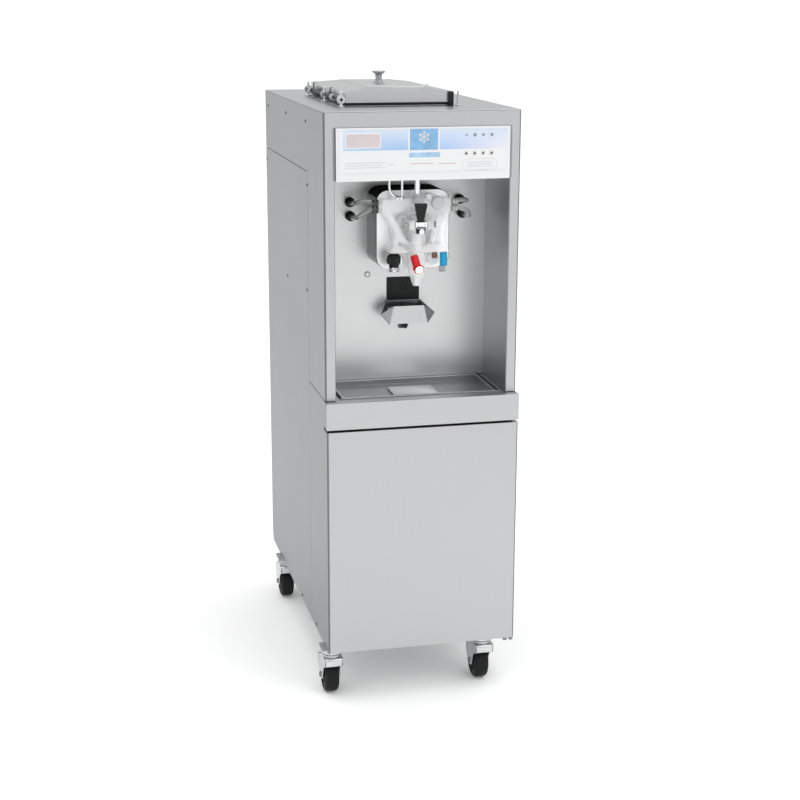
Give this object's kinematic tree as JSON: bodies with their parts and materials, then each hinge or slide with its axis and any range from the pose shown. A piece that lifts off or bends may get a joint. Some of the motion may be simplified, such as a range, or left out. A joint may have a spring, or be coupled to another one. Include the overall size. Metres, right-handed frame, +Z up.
{
  "type": "soft-serve and shake freezer",
  "caption": "Floor-standing soft-serve and shake freezer: steel cabinet on casters, dispensing bay with clear draw head, drip tray, hopper lid and service door.",
  "frame": {"origin": "on the floor, under the middle of the cabinet's width and depth", "axes": "+Z up, -Y towards the person at the front, +X to that person's right"},
  "size_m": [0.489, 0.879, 1.523],
  "materials": {
    "stainless_front": "fine brushed stainless, satin",
    "stainless_side": "fine brushed stainless, satin",
    "stainless_liner": "brushed stainless liner, satin",
    "stainless_tray": "bright rolled stainless",
    "galvanised": "galvanised sheet",
    "caster_zinc": "bright zinc plate",
    "polished_steel": "polished",
    "white_plastic": "satin moulding",
    "printed_overlay": "printed polyester film",
    "display_window": "tinted clear window",
    "black_plastic": "moulded, satin",
    "red_plastic": "moulded, gloss",
    "tan_plastic": "moulded, gloss",
    "blue_plastic": "moulded, gloss",
    "clear_plastic": "clear moulded, polished",
    "clear_hose": "clear flexible tube",
    "jar_plastic": "translucent white moulding",
    "insulation_jacket": "foam jacket",
    "black_paint": "satin enamel",
    "condenser_fins": "rolled fin stock",
    "black_rubber": "moulded tread"
  },
  "bodies": {
    "cabinet": {"base_pan": "galvanised", "left_side_panel": "stainless_side", "right_side_panel": "stainless_side", "rear_panel": "galvanised", "upper_shell": "stainless_front", "top_deck": "stainless_side", "bay_liner": "stainless_liner", "tray_apron": "stainless_front", "fascia_panel": "white_plastic", "fascia_overlay": "printed_overlay", "display_window": "display_window", "freezer_housing": "stainless_front", "freezing_cylinder": "insulation_jacket", "gear_motor": "black_paint", "dispensing_head": "clear_plastic", "draw_handle_pin": "polished_steel", "spinner_motor": "black_paint", "feed_tubes": "polished_steel", "syrup_plug_left": "black_plastic", "syrup_plug_centre": "red_plastic", "syrup_plug_right_inner": "tan_plastic", "syrup_plug_right_outer": "blue_plastic", "cup_guide_plate": "black_paint", "hopper_tank": "stainless_liner", "lid_hinge_rod": "black_paint", "compressor": "black_paint", "condenser": "condenser_fins", "syrup_rack": "jar_plastic", "syrup_port_1": "black_plastic", "syrup_hose_1": "clear_hose", "syrup_port_2": "black_plastic", "syrup_hose_2": "clear_hose", "syrup_port_3": "black_plastic", "syrup_hose_3": "clear_hose", "syrup_port_4": "black_plastic", "syrup_hose_4": "clear_hose"},
    "key_1": {"control_key_1": "black_plastic"},
    "key_2": {"control_key_2": "black_plastic"},
    "key_3": {"control_key_3": "black_plastic"},
    "key_4": {"control_key_4": "black_plastic"},
    "drip_tray": {"drip_tray": "stainless_tray"},
    "splash_grid": {"splash_grid": "stainless_tray"},
    "beater": {"beater": "polished_steel"},
    "draw_handle": {"draw_handle": "black_plastic"},
    "draw_valve": {"draw_valve": "white_plastic"},
    "spinner": {"spinner_shaft": "polished_steel"},
    "cup_rest": {"cup_holder": "stainless_front"},
    "cup_rest_knob": {"cup_holder_knob": "stainless_tray"},
    "hopper_lid": {"hopper_lid": "stainless_side", "lid_knob": "polished_steel"},
    "condenser_fan": {"condenser_fan": "black_plastic"},
    "service_door": {"lower_door": "stainless_front"},
    "fork_front_left": {"caster_fork_front_left": "caster_zinc"},
    "wheel_front_left": {"caster_wheel_front_left": "black_rubber"},
    "fork_front_right": {"caster_fork_front_right": "caster_zinc"},
    "wheel_front_right": {"caster_wheel_front_right": "black_rubber"},
    "fork_rear_left": {"caster_fork_rear_left": "caster_zinc"},
    "wheel_rear_left": {"caster_wheel_rear_left": "black_rubber"},
    "fork_rear_right": {"caster_fork_rear_right": "caster_zinc"},
    "wheel_rear_right": {"caster_wheel_rear_right": "black_rubber"}
  },
  "joints": [
    {"name": "door_swing", "type": "hinge", "parent": "cabinet", "child": "service_door", "pos_m": [0.2315, -0.404, 0.4], "axis": [0, 0, 1], "range_deg": [0, 105]},
    {"name": "lid_swing", "type": "hinge", "parent": "cabinet", "child": "hopper_lid", "pos_m": [-0.168, 0, 1.468], "axis": [0, -1, 0], "range_deg": [0, 100]},
    {"name": "handle_pull", "type": "hinge", "parent": "cabinet", "child": "draw_handle", "pos_m": [0, -0.393, 1.182], "axis": [1, 0, 0], "range_deg": [0, 50]},
    {"name": "valve_lift", "type": "slide", "parent": "cabinet", "child": "draw_valve", "axis": [0, 0, 1], "range_m": [0, 0.012]},
    {"name": "spinner_spin", "type": "hinge", "parent": "cabinet", "child": "spinner", "pos_m": [0, -0.3575, 1.2], "axis": [0, 0, 1], "continuous": true},
    {"name": "beater_spin", "type": "hinge", "parent": "cabinet", "child": "beater", "pos_m": [0, 0, 1.161], "axis": [0, 1, 0], "continuous": true},
    {"name": "fan_spin", "type": "hinge", "parent": "cabinet", "child": "condenser_fan", "pos_m": [0.04, 0.33, 0.32], "axis": [0, 1, 0], "continuous": true},
    {"name": "tray_lift", "type": "slide", "parent": "cabinet", "child": "drip_tray", "axis": [0, 0, 1], "range_m": [0, 0.09]},
    {"name": "grid_lift", "type": "slide", "parent": "drip_tray", "child": "splash_grid", "axis": [0, 0, 1], "range_m": [0, 0.06]},
    {"name": "cup_rest_height", "type": "slide", "parent": "cabinet", "child": "cup_rest", "axis": [0, 0, 1], "range_m": [-0.08, 0.045]},
    {"name": "cup_rest_knob_turn", "type": "hinge", "parent": "cup_rest", "child": "cup_rest_knob", "pos_m": [0, -0.23, 0.908], "axis": [0, 1, 0], "continuous": true},
    {"name": "key_1_press", "type": "slide", "parent": "cabinet", "child": "key_1", "axis": [0, 1, 0], "range_m": [0, 0.001], "stiffness_N_per_m": 300},
    {"name": "key_2_press", "type": "slide", "parent": "cabinet", "child": "key_2", "axis": [0, 1, 0], "range_m": [0, 0.001], "stiffness_N_per_m": 300},
    {"name": "key_3_press", "type": "slide", "parent": "cabinet", "child": "key_3", "axis": [0, 1, 0], "range_m": [0, 0.001], "stiffness_N_per_m": 300},
    {"name": "key_4_press", "type": "slide", "parent": "cabinet", "child": "key_4", "axis": [0, 1, 0], "range_m": [0, 0.001], "stiffness_N_per_m": 300},
    {"name": "caster_front_left_swivel", "type": "hinge", "parent": "cabinet", "child": "fork_front_left", "pos_m": [-0.222, -0.39, 0.11], "axis": [0, 0, 1], "continuous": true},
    {"name": "wheel_front_left_spin", "type": "hinge", "parent": "fork_front_left", "child": "wheel_front_left", "pos_m": [-0.222, -0.364, 0.045], "axis": [1, 0, 0], "continuous": true},
    {"name": "caster_front_right_swivel", "type": "hinge", "parent": "cabinet", "child": "fork_front_right", "pos_m": [0.168, -0.39, 0.11], "axis": [0, 0, 1], "continuous": true},
    {"name": "wheel_front_right_spin", "type": "hinge", "parent": "fork_front_right", "child": "wheel_front_right", "pos_m": [0.168, -0.364, 0.045], "axis": [1, 0, 0], "continuous": true},
    {"name": "caster_rear_left_swivel", "type": "hinge", "parent": "cabinet", "child": "fork_rear_left", "pos_m": [-0.222, 0.282, 0.11], "axis": [0, 0, 1], "continuous": true},
    {"name": "wheel_rear_left_spin", "type": "hinge", "parent": "fork_rear_left", "child": "wheel_rear_left", "pos_m": [-0.222, 0.308, 0.045], "axis": [1, 0, 0], "continuous": true},
    {"name": "caster_rear_right_swivel", "type": "hinge", "parent": "cabinet", "child": "fork_rear_right", "pos_m": [0.168, 0.282, 0.11], "axis": [0, 0, 1], "continuous": true},
    {"name": "wheel_rear_right_spin", "type": "hinge", "parent": "fork_rear_right", "child": "wheel_rear_right", "pos_m": [0.168, 0.308, 0.045], "axis": [1, 0, 0], "continuous": true}
  ],
  "couplings": [
    {"joint": "valve_lift", "follows": "handle_pull", "m_per_rad": 0.0137}
  ]
}
